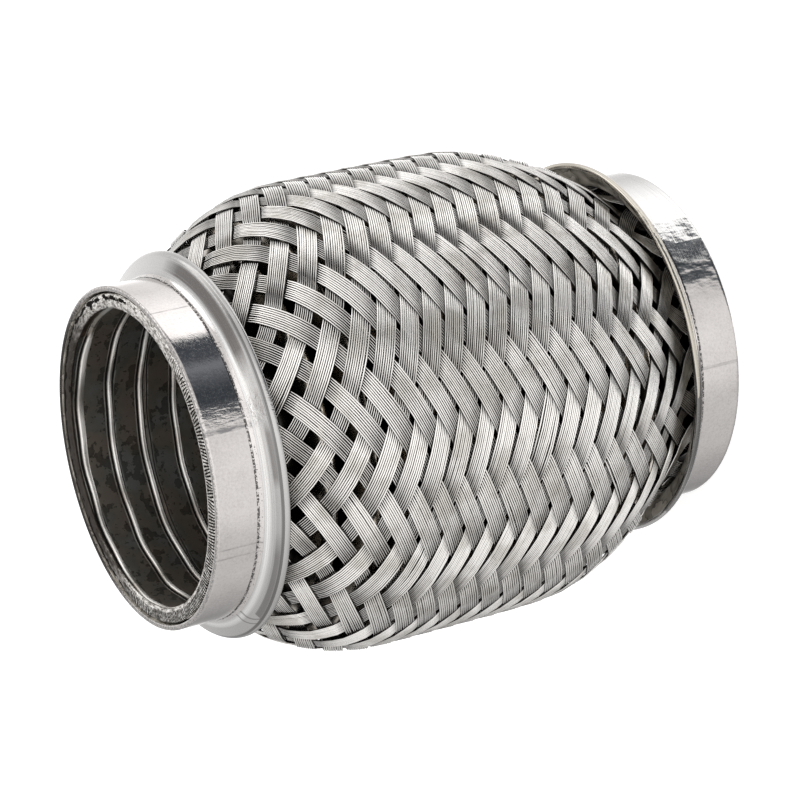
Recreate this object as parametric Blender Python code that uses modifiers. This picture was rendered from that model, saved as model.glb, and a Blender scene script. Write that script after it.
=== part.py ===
# Exhaust flex pipe, nominal 50 mm bore and 100 mm long, standing on its far end.
# The pipe's axis is +Z. Its far end stands at Z = 0 and its near end is open at the top.
# From inside to outside: a strip-wound liner, a bellows, a braid of interlaced wire ribbons,
# and a pressed collar on each end that holds all three.
import math

import bmesh
import bpy
import numpy as np
from mathutils import Vector

# Driving dimensions, in metres and degrees
PIPE_LENGTH = 0.100

WALL_STACK = 0.0038
LINER_STRIP_THICKNESS = 0.00025
LINER_STRIP_LAP = 0.0014
LINER_PITCH = 0.0058
LINER_START_ANGLE = 60.0

BELLOWS_WALL = 0.0003
FOLD_PITCH = 0.0062
FOLD_START = 0.0158
FOLD_ROOT_RISE = 0.0016

RIBBONS_EACH_WAY = 24
RIBBON_COVER = 0.892
RIBBON_CROWN = 0.00025
BELLY_RISE = 0.01057
BELLY_BRAID_ANGLE = 68.3
SHOULDER_RADIUS = 0.0286
SHOULDER_SLOPE = 37.5
THROAT_RADIUS = 0.0050
THROAT_MARGIN = 0.00536
GRIP_LENGTH = 0.00764
BELLY_LIFT = 0.00060
LIFT_RISE = 0.0010
RIGHT_HAND_PHASE = 14.30
LEFT_HAND_PHASE = 2.81

COLLAR_OUTER_RADIUS = 0.0288
COLLAR_WALL = 0.0009
COLLAR_NECK_LENGTH = 0.0072
FLANGE_REACH = 0.0038
FLANGE_SLOPE = 62.0
FLANGE_FILLET = 0.0014
LIP_FILLET = 0.0013
COLLAR_LENGTH = 0.0112

# Clearances between neighbours
TURN_CLEARANCE = 0.00015
LINER_CLEARANCE = 0.0003
BRAID_CLEARANCE = 0.00015
CREST_CLEARANCE = 0.0006
END_INSET = 0.0002

# Fineness of the round forms
COLLAR_STEPS = 40
BELLOWS_STEPS = 24
LINER_STEPS = 16
ARC_STEPS = 2
PROFILE_SAMPLES = 2001

# Derived sizes
liner_bore_radius = COLLAR_OUTER_RADIUS - WALL_STACK
liner_taper = LINER_STRIP_THICKNESS + TURN_CLEARANCE
liner_rise = liner_taper * (1 + LINER_STRIP_LAP / LINER_PITCH)
liner_outer_radius = liner_bore_radius + liner_rise + LINER_STRIP_THICKNESS
cuff_outer_radius = liner_outer_radius + LINER_CLEARANCE + BELLOWS_WALL
collar_inner_radius = COLLAR_OUTER_RADIUS - COLLAR_WALL
neck_radius = (cuff_outer_radius + collar_inner_radius) / 2
neck_lift = (collar_inner_radius - cuff_outer_radius - RIBBON_CROWN) / 2 - BRAID_CLEARANCE
flange_radius = COLLAR_OUTER_RADIUS + FLANGE_REACH
middle = PIPE_LENGTH / 2
shoulder_slope = math.radians(SHOULDER_SLOPE)
belly_radius = COLLAR_OUTER_RADIUS + BELLY_RISE
ribbon_pitch = 2 * math.pi / RIBBONS_EACH_WAY
ribbon_width = RIBBON_COVER * ribbon_pitch * belly_radius * math.cos(math.radians(BELLY_BRAID_ANGLE))
arc_radius = belly_radius - SHOULDER_RADIUS * (1 - math.cos(shoulder_slope))
throat_top = neck_radius + THROAT_RADIUS * (1 - math.cos(shoulder_slope))
throat_end = middle - GRIP_LENGTH
throat_start = throat_end - THROAT_RADIUS * math.sin(shoulder_slope)
throat_zone = throat_end - THROAT_MARGIN
arc_end = throat_start - (arc_radius - throat_top) / math.tan(shoulder_slope)
belly_half_length = arc_end - SHOULDER_RADIUS * math.sin(shoulder_slope)
fold_count = math.floor((PIPE_LENGTH - 2 * FOLD_START) / FOLD_PITCH)


def clear_scene():
    """Remove what the open file holds, so that the model starts empty."""
    for item in list(bpy.data.objects):
        bpy.data.objects.remove(item, do_unlink=True)


def make_material(name, colour, roughness, metallic=1.0):
    """Return a Principled material with one colour."""
    material = bpy.data.materials.new(name)
    material.use_nodes = True
    shader = material.node_tree.nodes["Principled BSDF"]
    shader.inputs["Base Color"].default_value = (*colour, 1.0)
    shader.inputs["Roughness"].default_value = roughness
    shader.inputs["Metallic"].default_value = metallic
    return material


def add_object(name, mesh, material, collection):
    """Put a mesh into the collection as an object with one material."""
    mesh.materials.append(material)
    item = bpy.data.objects.new(name, mesh)
    collection.objects.link(item)
    return item


def loft(name, sections, material, collection):
    """One closed solid through a row of four-cornered sections.

    The strip's two faces are split along like diagonals, so that they never cut through each other.
    """
    shape = bmesh.new()
    rings = [[shape.verts.new(corner) for corner in section] for section in sections]
    for lower, upper in zip(rings, rings[1:]):
        for k in range(4):
            a, b, c, d = lower[k], lower[(k + 1) % 4], upper[(k + 1) % 4], upper[k]
            for corners in ((a, b, c), (a, c, d)) if k < 2 else ((a, b, d), (b, c, d)):
                shape.faces.new(corners)
    shape.faces.new(rings[0][::-1])
    shape.faces.new(rings[-1])
    if shape.calc_volume(signed=True) < 0:
        bmesh.ops.reverse_faces(shape, faces=shape.faces)
    mesh = bpy.data.meshes.new(name)
    shape.to_mesh(mesh)
    shape.free()
    return add_object(name, mesh, material, collection)


def arc(centre, radius, start, end, steps=ARC_STEPS):
    """Points of a circular arc in the (radius, height) plane, angles in degrees."""
    return [
        (centre[0] + radius * math.cos(math.radians(start + (end - start) * k / steps)),
         centre[1] + radius * math.sin(math.radians(start + (end - start) * k / steps)))
        for k in range(steps + 1)
    ]


def offset_outline(points, wall):
    """Shift an open outline by the wall to its right-hand side, with mitred corners."""
    line = [Vector(point) for point in points]
    normals = []
    for first, second in zip(line, line[1:]):
        run = (second - first).normalized()
        normals.append(Vector((run.y, -run.x)))
    shifted = []
    for k, point in enumerate(line):
        before = normals[max(k - 1, 0)]
        after = normals[min(k, len(normals) - 1)]
        mitre = (before + after).normalized()
        shifted.append(point + mitre * (wall / mitre.dot(after)))
    return [tuple(point) for point in shifted]


def turned_wall(name, outer, wall, steps, material, collection):
    """Turn a sheet-metal wall: the outer outline, top to bottom, and its copy one wall inside."""
    inner = offset_outline(outer, wall)
    loop = list(outer) + inner[::-1]
    mesh = bpy.data.meshes.new(name)
    vertices = [(radius, 0.0, height) for radius, height in loop]
    edges = [(k, (k + 1) % len(loop)) for k in range(len(loop))]
    mesh.from_pydata(vertices, edges, [])
    item = add_object(name, mesh, material, collection)
    screw = item.modifiers.new("turn", "SCREW")
    screw.axis = "Z"
    screw.angle = 2 * math.pi
    screw.steps = steps
    screw.render_steps = steps
    screw.use_merge_vertices = True
    screw.merge_threshold = 0.00001
    screw.use_smooth_shade = True
    return item


def collar_outline():
    """Outer outline of a collar, from its flange lip down to its end face at height 0."""
    slope = FLANGE_SLOPE
    fillet_centre = (COLLAR_OUTER_RADIUS + FLANGE_FILLET, COLLAR_NECK_LENGTH)
    lip_start = COLLAR_NECK_LENGTH + FLANGE_FILLET * math.sin(math.radians(slope))
    fillet_end = COLLAR_OUTER_RADIUS + FLANGE_FILLET * (1 - math.cos(math.radians(slope)))
    lip_in = flange_radius - LIP_FILLET * (1 - math.cos(math.radians(slope)))
    face_rise = (lip_in - fillet_end) / math.tan(math.radians(slope))
    lip_centre = (flange_radius - LIP_FILLET,
                  lip_start + face_rise + LIP_FILLET * math.sin(math.radians(slope)))
    points = [(flange_radius, COLLAR_LENGTH)]
    points += arc(lip_centre, LIP_FILLET, 0, -slope)
    points += arc(fillet_centre, FLANGE_FILLET, 180 - slope, 180)
    points += [(COLLAR_OUTER_RADIUS, 0.0)]
    return points


def make_collars(material, collection):
    """Two like pressings, one on each end, with their cups towards the braid."""
    outline = collar_outline()
    turned_wall("end_collar_far", outline, COLLAR_WALL, COLLAR_STEPS, material, collection)
    upturned = [(radius, PIPE_LENGTH - height) for radius, height in outline]
    turned_wall("end_collar_near", upturned[::-1], COLLAR_WALL, COLLAR_STEPS, material, collection)


def barrel_radius(height):
    """Radius of the braid's mid surface: belly, shoulder arc, cone, throat arc and neck."""
    away = np.abs(np.asarray(height, float) - middle)
    on_arc = np.sqrt(np.maximum(SHOULDER_RADIUS**2 - (away - belly_half_length)**2, 0))
    on_throat = np.sqrt(np.maximum(THROAT_RADIUS**2 - (throat_end - away)**2, 0))
    return np.select(
        [away < belly_half_length, away < arc_end, away < throat_start, away < throat_end],
        [belly_radius, belly_radius - SHOULDER_RADIUS + on_arc,
         arc_radius - (away - arc_end) * math.tan(shoulder_slope),
         neck_radius + THROAT_RADIUS - on_throat],
        neck_radius)


def barrel_slope(height):
    """Change of the barrel's radius with height."""
    step = PIPE_LENGTH / PROFILE_SAMPLES
    return (barrel_radius(height + step) - barrel_radius(height - step)) / (2 * step)


class BraidLattice:
    """The net of crossings on the barrel.

    A braid deforms as a trellis: the length of wire between two crossings stays the same, so the
    sine of the braid angle grows with the radius. A point is given by its two lattice numbers:
    right counts the right-hand ribbons and left the left-hand ones.
    """

    def __init__(self):
        self.trellis = belly_radius / math.sin(math.radians(BELLY_BRAID_ANGLE))
        self.heights = np.linspace(0, PIPE_LENGTH, PROFILE_SAMPLES)
        radius = barrel_radius(self.heights)
        rate = np.hypot(1, barrel_slope(self.heights)) / np.sqrt(self.trellis**2 - radius**2)
        turn = np.concatenate([[0], np.cumsum((rate[1:] + rate[:-1]) / 2)])
        turn *= self.heights[1]
        self.turn = turn - np.interp(middle, self.heights, turn)
        self.phase_right = math.radians(RIGHT_HAND_PHASE)
        self.phase_left = math.radians(LEFT_HAND_PHASE)

    def height(self, right, left):
        """Height of a lattice point."""
        turn = (self.phase_left - self.phase_right + (left - right) * ribbon_pitch) / 2
        return float(np.interp(turn, self.turn, self.heights))

    def angle(self, right, left):
        """Angle of a lattice point about the pipe's axis."""
        return (self.phase_left + self.phase_right + (left + right) * ribbon_pitch) / 2

    def reach(self, height):
        """How far left is ahead of right at a height."""
        turn = float(np.interp(height, self.heights, self.turn))
        return (2 * turn - self.phase_left + self.phase_right) / ribbon_pitch

    def half_width(self, height):
        """Half a ribbon's width in lattice numbers."""
        radius = float(barrel_radius(height))
        spacing = ribbon_pitch * radius * math.sqrt(1 - (radius / self.trellis)**2)
        return ribbon_width / 2 / spacing

    def point(self, right, left, lift):
        """A point at a lattice place, lifted off the barrel's mid surface along its normal."""
        height = self.height(right, left)
        angle = self.angle(right, left)
        slope = float(barrel_slope(height))
        share = lift / math.hypot(1, slope)
        radius = float(barrel_radius(height)) + share
        return Vector((radius * math.cos(angle), radius * math.sin(angle), height - share * slope))

    def lift(self, height):
        """How far a float stands off the mid surface: less in the neck, where the collar grips it."""
        rise = float(barrel_radius(height)) - neck_radius
        share = min(rise / LIFT_RISE, 1)
        return neck_lift + (BELLY_LIFT - neck_lift) * share


def float_wave(place):
    """1 in the middle of a float over two ribbons, -1 in the middle of the next one under two."""
    return abs((place % 4) - 2) - 1


def ribbon_stations(lattice, number, hand):
    """Lattice numbers along one ribbon: each float's middle, and both ends cut level.

    Near the collars, where the barrel bends in, each passage between floats is a station too.
    """
    sign = 1 if hand == "right" else -1
    ends = [number + sign * lattice.reach(height) for height in (END_INSET, PIPE_LENGTH - END_INSET)]
    first, last = min(ends), max(ends)
    stations = [first]
    for count in range(math.ceil(first + number), math.floor(last + number) + 1):
        # a float's middle lies between two crossings, and floats are two crossings long
        along = count + 0.5 - number
        height = lattice.height(number, along) if hand == "right" else lattice.height(along, number)
        is_middle = count % 2 == 1
        if first + 0.5 < along < last - 0.5 and (is_middle or abs(height - middle) > throat_zone):
            stations.append(along)
    return stations + [last]


def ribbon_section(lattice, number, along, hand, level):
    """Four corners of a ribbon's section: left edge, crown, right edge and underside."""
    phase = 1.5 if hand == "right" else 3.5
    place = (number, along) if hand == "right" else (along, number)
    height = lattice.height(*place)
    lift = lattice.lift(height) * float_wave(number + along - phase + 2)
    half = lattice.half_width(height)
    # a level cut keeps the height along the section, any other one keeps its own ribbon's number
    shift = (half, half) if level else (half, 0) if hand == "right" else (0, half)
    corners = []
    for side, crown in ((-1, 0), (0, 1), (1, 0), (0, -1)):
        right = place[0] + side * shift[0]
        left = place[1] + side * shift[1]
        corners.append(lattice.point(right, left, lift + crown * RIBBON_CROWN / 2))
    return corners


def make_ribbon(lattice, number, hand, material, collection):
    """One ribbon of the braid as a loft through its sections."""
    stations = ribbon_stations(lattice, number, hand)
    sections = []
    for k, along in enumerate(stations):
        level = k in (0, len(stations) - 1)
        sections.append(ribbon_section(lattice, number, along, hand, level))
    name = f"{hand}_hand_ribbon_{number + 1:02d}"
    return loft(name, sections, material, collection)


def make_braid(material, collection):
    """Two sets of ribbons, each passing over two and under two of the other set."""
    lattice = BraidLattice()
    for hand in ("right", "left"):
        for number in range(RIBBONS_EACH_WAY):
            make_ribbon(lattice, number, hand, material, collection)


def bellows_outline():
    """Outer outline of the bellows, top to bottom: cuff, folds under the braid, cuff."""
    root = cuff_outer_radius + FOLD_ROOT_RISE
    braid_reach = BELLY_LIFT + RIBBON_CROWN / 2 + CREST_CLEARANCE
    points = []
    fold_bottom = middle - fold_count * FOLD_PITCH / 2
    for k in range(fold_count):
        crest_height = fold_bottom + (k + 0.5) * FOLD_PITCH
        slope = float(barrel_slope(crest_height))
        room = braid_reach * math.hypot(1, slope)
        crest = max(float(barrel_radius(crest_height)) - room, root + BELLOWS_WALL)
        points += [(root, fold_bottom + k * FOLD_PITCH), (crest, crest_height)]
    points.append((root, fold_bottom + fold_count * FOLD_PITCH))
    ramp = FOLD_ROOT_RISE
    points = ([(cuff_outer_radius, END_INSET), (cuff_outer_radius, fold_bottom - ramp)] + points
              + [(cuff_outer_radius, PIPE_LENGTH - fold_bottom + ramp),
                 (cuff_outer_radius, PIPE_LENGTH - END_INSET)])
    return points[::-1]


def make_bellows(material, collection):
    """The gas-tight folded tube, whose crests carry the braid."""
    turned_wall("bellows", bellows_outline(), BELLOWS_WALL, BELLOWS_STEPS, material, collection)


def make_liner(material, collection):
    """One strip wound as a helix, each turn lapped over the next and cut off level at both ends."""
    bottom = END_INSET
    top = PIPE_LENGTH - END_INSET
    width = LINER_PITCH + LINER_STRIP_LAP
    taper = liner_taper / LINER_PITCH
    turns = (top - bottom + width) / LINER_PITCH
    count = math.floor(turns * LINER_STEPS)
    sections = []
    for k in range(1, count):
        turn = k / LINER_STEPS
        start = bottom - width + turn * LINER_PITCH
        lower = max(start, bottom)
        upper = min(start + width, top)
        if upper - lower < LINER_STRIP_LAP:
            continue
        angle = math.radians(LINER_START_ANGLE) + turn * 2 * math.pi
        section = []
        for height, wall in ((lower, 0), (upper, 0), (upper, 1), (lower, 1)):
            radius = liner_bore_radius + (start + width - height) * taper + wall * LINER_STRIP_THICKNESS
            section.append((radius * math.cos(angle), radius * math.sin(angle), height))
        sections.append(section)
    return loft("interlock_liner", sections, material, collection)


def build():
    """Make every piece of the pipe."""
    clear_scene()
    collection = bpy.data.collections.new("exhaust_flex_pipe")
    bpy.context.scene.collection.children.link(collection)
    polished = make_material("polished_steel", (0.78, 0.76, 0.73), 0.22)
    satin = make_material("satin_wire", (0.62, 0.60, 0.57), 0.35)
    folded = make_material("folded_sheet", (0.50, 0.47, 0.43), 0.30)
    heat_stained = make_material("stained_strip", (0.20, 0.18, 0.16), 0.42)
    make_liner(heat_stained, collection)
    make_bellows(folded, collection)
    make_braid(satin, collection)
    make_collars(polished, collection)


build()
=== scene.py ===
import bpy
import numpy as np
from mathutils import Matrix


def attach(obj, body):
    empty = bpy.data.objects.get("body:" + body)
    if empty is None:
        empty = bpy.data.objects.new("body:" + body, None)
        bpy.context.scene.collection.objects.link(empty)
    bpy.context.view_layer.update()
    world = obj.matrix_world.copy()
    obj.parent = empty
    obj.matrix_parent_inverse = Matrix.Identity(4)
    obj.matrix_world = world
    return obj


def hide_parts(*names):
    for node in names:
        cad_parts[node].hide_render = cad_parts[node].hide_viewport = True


# Exhaust flex pipe standing on its far end, pipe axis on +Z, all in metres.

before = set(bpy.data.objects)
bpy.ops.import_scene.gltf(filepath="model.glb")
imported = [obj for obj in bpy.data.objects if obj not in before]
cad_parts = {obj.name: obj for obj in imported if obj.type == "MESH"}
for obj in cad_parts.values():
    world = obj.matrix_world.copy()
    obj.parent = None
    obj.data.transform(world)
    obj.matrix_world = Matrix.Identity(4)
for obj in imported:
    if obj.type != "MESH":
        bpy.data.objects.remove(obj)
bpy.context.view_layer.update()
mm = 0.001
draw = np.random.default_rng(20)  # every random value comes from here, in this order

pipe = dict(length=100 * mm, turns=2 * np.pi, lean=0.85 * mm, leanStart=4 * mm, leanEnd=30 * mm,
            phaseSpan=6.3)
middle = pipe["length"] / 2


def smoothStep(value, low, high):
    # 0 below low, 1 above high, and a cubic ease between
    share = np.clip((value - low) / (high - low), 0, 1)
    return share * share * (3 - 2 * share)


def softNoise(place, period, waves=5):
    # a sum of sines of place, with wavelengths round one period and random phases, from -1 to 1
    total = np.zeros_like(place)
    for _ in range(waves):
        length = period * draw.uniform(0.6, 1.7)
        total = total + np.sin(place / length * 2 * np.pi + draw.uniform(0, 2 * np.pi))
    return total / waves


def meshFrom(name, points, quads, extra=(), tone=None):
    # points (n, 3), quads (m, 4) and a list of larger faces; turned outwards by the sign of its volume;
    # every piece leans the same way near the far end, where the pipe is a little out of line
    points = np.array(points, float).reshape(-1, 3)
    points[:, 0] += pipe["lean"] * (1 - smoothStep(points[:, 2], pipe["leanStart"], pipe["leanEnd"]))
    quads = np.asarray(quads, np.int64).reshape(-1, 4)
    a, b, c, d = (points[quads[:, k]] for k in range(4))
    volume = (np.einsum("ij,ij->i", a, np.cross(b, c)) + np.einsum("ij,ij->i", a, np.cross(c, d))).sum()
    if volume < 0:
        quads = quads[:, ::-1]
        extra = [face[::-1] for face in extra]
    loops = np.concatenate([quads.ravel(), *[np.asarray(face) for face in extra]]).astype(np.int32)
    starts = np.arange(len(quads)) * 4
    tail = np.cumsum([0] + [len(face) for face in extra])[:-1] + len(quads) * 4
    starts = np.concatenate([starts, tail]).astype(np.int32)
    mesh = bpy.data.meshes.new(name)
    mesh.vertices.add(len(points))
    mesh.vertices.foreach_set("co", points.astype(np.float32).ravel())
    mesh.loops.add(len(loops))
    mesh.loops.foreach_set("vertex_index", loops)
    mesh.polygons.add(len(starts))
    mesh.polygons.foreach_set("loop_start", starts)
    mesh.update(calc_edges=True)
    mesh.polygons.foreach_set("use_smooth", np.ones(len(starts), bool))
    if tone is not None:
        attribute = mesh.attributes.new("tone", "FLOAT", "POINT")
        attribute.data.foreach_set("value", np.asarray(tone, np.float32).ravel())
    return mesh


def ringQuads(rows, columns, closeRows=False, first=0):
    # faces of a grid whose columns close into a ring; its rows close too if asked
    row = np.arange(rows if closeRows else rows - 1)[:, None]
    column = np.arange(columns)[None, :]
    near, far = row, (row + 1) % rows
    left, right = column, (column + 1) % columns
    return first + np.stack([near * columns + left, near * columns + right,
                             far * columns + right, far * columns + left], -1).reshape(-1, 4)


def addPiece(name, mesh, material, nodes, sharp=None):
    # the mesh becomes a piece that replaces the named nodes; edges past the sharp angle stay hard
    if sharp is not None:
        mesh.set_sharp_from_angle(angle=np.radians(sharp))
    mesh.materials.append(material)
    piece = bpy.data.objects.new(name, mesh)
    bpy.context.scene.collection.objects.link(piece)
    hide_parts(*nodes)
    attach(piece, "root")


class Sock:
    # a node socket: + - * / and the comparisons each add a Math node
    def __init__(self, shade, link):
        self.shade, self.link = shade, link

    def math(self, operation, *others):
        values = {k + 1: v for k, v in enumerate(others)}
        return self.shade.node("ShaderNodeMath", dict(operation=operation), {0: self, **values})

    def __add__(self, other):
        return self.math("ADD", other)

    def __mul__(self, other):
        return self.math("MULTIPLY", other)

    def __sub__(self, other):
        return self.math("SUBTRACT", other)

    def __rsub__(self, other):
        return self.shade.node("ShaderNodeMath", dict(operation="SUBTRACT"), {0: other, 1: self})

    def __truediv__(self, other):
        return self.math("DIVIDE", other)

    __radd__, __rmul__ = __add__, __mul__

    def atMost(self, other):
        return self.math("MINIMUM", other)

    def atLeast(self, other):
        return self.math("MAXIMUM", other)

    def over(self, limit):
        return self.math("GREATER_THAN", limit)

    def under(self, limit):
        return self.math("LESS_THAN", limit)


class Shade:
    # one material or world, with a single method for any node
    def __init__(self, owner):
        owner.use_nodes = True
        self.owner, self.tree = owner, owner.node_tree
        self.tree.nodes.clear()

    def node(self, kind, settings=None, inputs=None, out=0):
        made = self.tree.nodes.new(kind)
        stops = (settings or {}).pop("stops", None)
        for key, value in (settings or {}).items():
            setattr(made, key, value)
        if stops:
            ramp = made.color_ramp
            while len(ramp.elements) > 1:
                ramp.elements.remove(ramp.elements[-1])
            for k, (place, colour) in enumerate(stops):
                element = ramp.elements[0] if k == 0 else ramp.elements.new(place)
                element.position = place
                element.color = (*colour, 1) if isinstance(colour, tuple) else (colour, colour, colour, 1)
        for key, value in (inputs or {}).items():
            if isinstance(value, Sock):
                self.tree.links.new(value.link, made.inputs[key])
            else:
                made.inputs[key].default_value = value
        return Sock(self, made.outputs[out]) if len(made.outputs) else None

    def noise(self, place, scale, detail=3.0, roughness=0.5):
        return self.node("ShaderNodeTexNoise", None,
                         dict(Vector=place, Scale=scale, Detail=detail, Roughness=roughness), "Fac")

    def ramp(self, value, *stops):
        return self.node("ShaderNodeValToRGB", dict(stops=stops), {0: value})

    def mix(self, share, first, second):
        return self.node("ShaderNodeMix", dict(data_type="RGBA"), {0: share, 6: first, 7: second}, 2)

    def bump(self, height, strength, distance, normal=None):
        inputs = dict(Height=height, Strength=strength, Distance=distance)
        if normal is not None:
            inputs["Normal"] = normal
        return self.node("ShaderNodeBump", None, inputs, "Normal")

    def stretched(self, x, y, z):
        # object coordinates in millimetres, scaled apart on the three axes
        place = self.node("ShaderNodeTexCoord", None, None, "Object")
        return self.node("ShaderNodeMapping", None, {"Vector": place, "Scale": (x / mm, y / mm, z / mm)})

    def multiplied(self, first, second):
        return self.node("ShaderNodeMix", dict(data_type="RGBA", blend_type="MULTIPLY"),
                         {0: 1.0, 6: first, 7: second}, 2)

    def metal(self, hollow, gap=(0.012, 0.011, 0.010, 1), **inputs):
        # bare metal, with a dull black gap wherever the share called hollow is 1: painted shade where wires
        # meet, in the liner strip's gap and in the bellows lip's cuts; real pits, scratches, crumbs and
        # browning elsewhere
        values = {"Metallic": 1.0, "IOR": 1.5}
        values.update({key.replace("_", " "): value for key, value in inputs.items()})
        bare = self.node("ShaderNodeBsdfPrincipled", None, values)
        black = self.node("ShaderNodeBsdfDiffuse", None, dict(Color=gap))
        surface = self.node("ShaderNodeMixShader", None, {0: hollow, 1: bare, 2: black})
        self.node("ShaderNodeOutputMaterial", None, {"Surface": surface})
        return self.owner


def attribute(shade, name):
    return shade.node("ShaderNodeAttribute", dict(attribute_name=name), None, "Fac")


def roundPlace(shade):
    # the object coordinates, and from them azimuth, radius and distance from the middle, in radians
    # and millimetres
    place = shade.stretched(1, 1, 1)
    x, y, z = (shade.node("ShaderNodeSeparateXYZ", None, {0: place}, k) for k in range(3))
    radius = (x * x + y * y).math("SQRT")
    away = (z - middle / mm).math("ABSOLUTE")
    return place, y.math("ARCTAN2", x), radius, away


def band(value, centre, half):
    # 1 at the centre, falling evenly to 0 at half a width away
    return (1 - (value - centre).math("ABSOLUTE") / half).atLeast(0)


def plateau(value, centre, half, gain, most=1):
    # a band made steeper by the gain and cut off level on top
    return (band(value, centre, half) * gain).atMost(most)


def sector(azimuth, centre, half):
    # a band round the axis, its centre and half its width in degrees
    return band(azimuth, np.radians(centre), np.radians(half))


endFace = dict(brownSide=(86, 72), brownGain=2.2, ragged=1.6)


def brownedSide(azimuth, grit, most):
    # how browned the near end face is: most of all on one side, with a ragged edge
    share = sector(azimuth, *endFace["brownSide"]) * endFace["brownGain"] + (grit - 0.5) * endFace["ragged"]
    return share.atMost(most).atLeast(0)


neckLook = dict(blotch=(0.16, 3.0), blotchShare=0.4,
                skin=[(0.36, (0.53, 0.50, 0.485)), (0.50, (0.61, 0.58, 0.565)), (0.64, (0.66, 0.63, 0.61))],
                seams=[(-120, 23, 0.45), (-123.5, 26, 0.40)],  # azimuth, its shift at the far collar, depth
                seamHalf=0.5, smear=(-80.5, 1.1), smearWander=3, nick=(-33.5, 0.5), nickDepth=0.5,
                lineGain=4, lineStart=1.2, lineMost=0.75, lineColour=(0.12, 0.12, 0.13, 1),
                edgeFrom=49.75, edgePits=0.48, edgeShare=0.6, edgeColour=(0.24, 0.235, 0.23, 1))


def neckSkin(shade, azimuth, away, isFar, pits, crease):
    # satin grey by two noises, with thin dark lines along the axis, broken up by the creases, where the
    # sheet was closed and rubbed, and with darker pits at the edge of the end face
    n = neckLook
    blotch = shade.noise(shade.stretched(1, 1, 1), *n["blotch"])
    skin = shade.ramp(blotch * n["blotchShare"] + pits * (1 - n["blotchShare"]), *n["skin"])
    smear = sector(azimuth + (crease - 0.5) * np.radians(n["smearWander"]), *n["smear"])
    lines = smear.atLeast(sector(azimuth, *n["nick"]) * n["nickDepth"]) * (1 - isFar)
    for centre, farShift, depth in n["seams"]:
        seam = band(azimuth, isFar * np.radians(farShift) + np.radians(centre), np.radians(n["seamHalf"]))
        lines = lines.atLeast(seam * depth)
    lines = (lines * (crease * n["lineGain"] - n["lineStart"])).atMost(n["lineMost"]).atLeast(0)
    skin = shade.mix(lines, skin, n["lineColour"])
    edge = away.over(n["edgeFrom"]) * pits.over(n["edgePits"])
    return shade.mix(edge * n["edgeShare"], skin, n["edgeColour"])


flangeLook = dict(start=28, span=5,
                  # rings: greys by the radius that paint reflections, a bright band near the neck and a dark
                  # line inside the rim
                  rings=[(0.24, (0.52, 0.51, 0.50)), (0.34, (0.84, 0.83, 0.82)), (0.41, (0.76, 0.75, 0.735)),
                         (0.50, (0.52, 0.51, 0.50)), (0.79, (0.50, 0.49, 0.48)), (0.83, (0.15, 0.145, 0.14)),
                         (0.87, (0.18, 0.175, 0.17))],
                  ringWaver=0.10, topSide=(15, 55), topGain=2, topColour=(0.50, 0.49, 0.48, 1),
                  upperSide=(-38, 30), upperGain=3, upperShadow=(30.9, 1.2), upperWaver=1.2, upperMost=0.95,
                  lowerFrom=-151, lowerTo=-40, stripes=((-91, 10), (-138, 24)), stripeGain=2, thinStripe=0.28,
                  lowerShadow=(31.5, 0.62), lowerWaver=0.8, lowerMost=0.72, shadowGain=2,
                  stepLines=((-156, 0.7), (-159.5, 0.6)), sweepFrom=30, sweep=1.1, stepMost=0.8,
                  shadowColour=(0.15, 0.14, 0.135, 1),
                  rimFrom=32.42, nearRim=(0.46, 0.45, 0.44, 1), farRim=(0.50, 0.465, 0.41, 1))


def flangeSkin(shade, azimuth, radius, isFar, rings):
    # greys by the radius that paint reflections, a bright band near the neck and a dark line inside the rim,
    # plainer on the topmost side; over them, dark: a painted shadow in a broad ring on the upper side, a
    # painted reflection in a thin ring on the lower side that widens into two stripes, and two step lines
    # swept round the near flange; the rim has a colour of its own, straw-tinted at the far end
    f = flangeLook
    waver = rings - 0.5
    skin = shade.ramp((radius - f["start"]) / f["span"] + waver * f["ringWaver"], *f["rings"])
    top = plateau(azimuth, *np.radians(f["topSide"]), f["topGain"])
    skin = shade.mix(top, skin, f["topColour"])
    upper = plateau(azimuth, *np.radians(f["upperSide"]), f["upperGain"])
    upperRing = plateau(radius + waver * f["upperWaver"], *f["upperShadow"], f["shadowGain"], f["upperMost"])
    lower = azimuth.under(np.radians(f["lowerTo"])) * azimuth.over(np.radians(f["lowerFrom"]))
    first, second = (sector(azimuth, *stripe) for stripe in f["stripes"])
    stripe = (first.atLeast(second) * f["stripeGain"] + f["thinStripe"]).atMost(1) * lower
    lowerRing = plateau(radius + waver * f["lowerWaver"], *f["lowerShadow"], f["shadowGain"], f["lowerMost"])
    shadow = (upper * upperRing).atLeast(stripe * lowerRing)
    swept = azimuth - (radius - f["sweepFrom"]).atLeast(0).math("POWER", 2) * np.radians(f["sweep"])
    first, second = (sector(swept, *line) for line in f["stepLines"])
    shadow = shadow.atLeast(first.atLeast(second) * (1 - isFar) * f["stepMost"])
    skin = shade.mix(shadow, skin, f["shadowColour"])
    rim = shade.mix(isFar, f["nearRim"], f["farRim"])
    return shade.mix(radius.over(f["rimFrom"]), skin, rim)


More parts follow.
